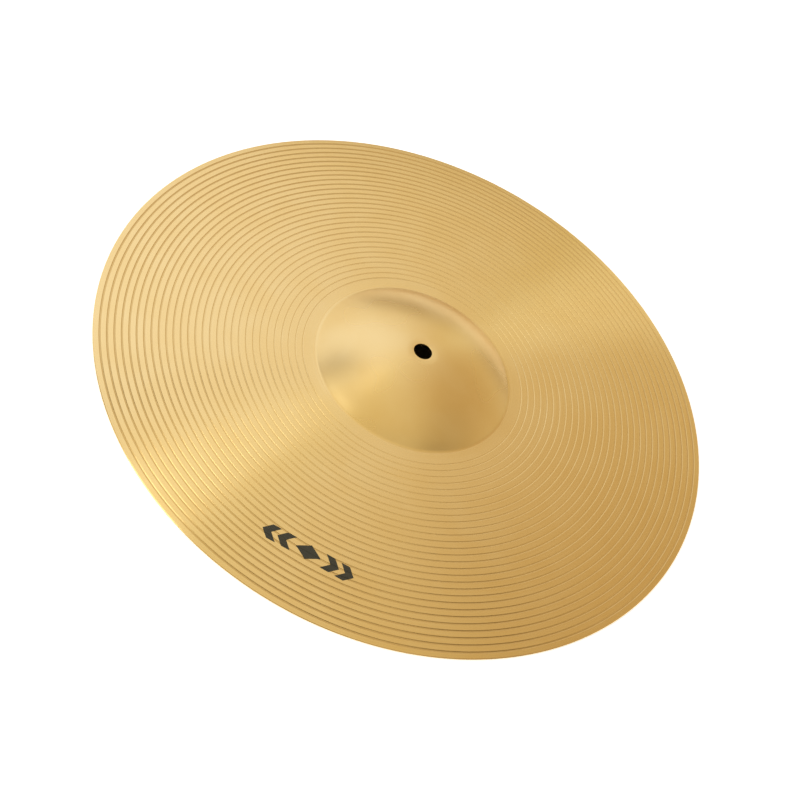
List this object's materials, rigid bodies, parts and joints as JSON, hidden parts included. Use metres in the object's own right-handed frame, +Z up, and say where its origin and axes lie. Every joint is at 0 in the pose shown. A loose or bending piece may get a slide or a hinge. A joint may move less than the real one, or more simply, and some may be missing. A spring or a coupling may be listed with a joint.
{
  "type": "crash cymbal",
  "caption": "Thin round brass cymbal with a raised bell, a centre hole, a grooved domed bow and a small printed ornament near the rim.",
  "frame": {"origin": "on the cymbal's axis, in the plane that its rim rests on", "axes": "+Z up along the axis, towards the top of the bell; the printed ornament lies towards -Y and its row runs along X"},
  "size_m": [0.4064, 0.4064, 0.0398],
  "materials": {
    "brass": "lathe-turned satin",
    "ink": "screen-printed ink"
  },
  "bodies": {
    "root": {"cymbal": "brass", "printed_mark": "ink"}
  },
  "joints": []
}
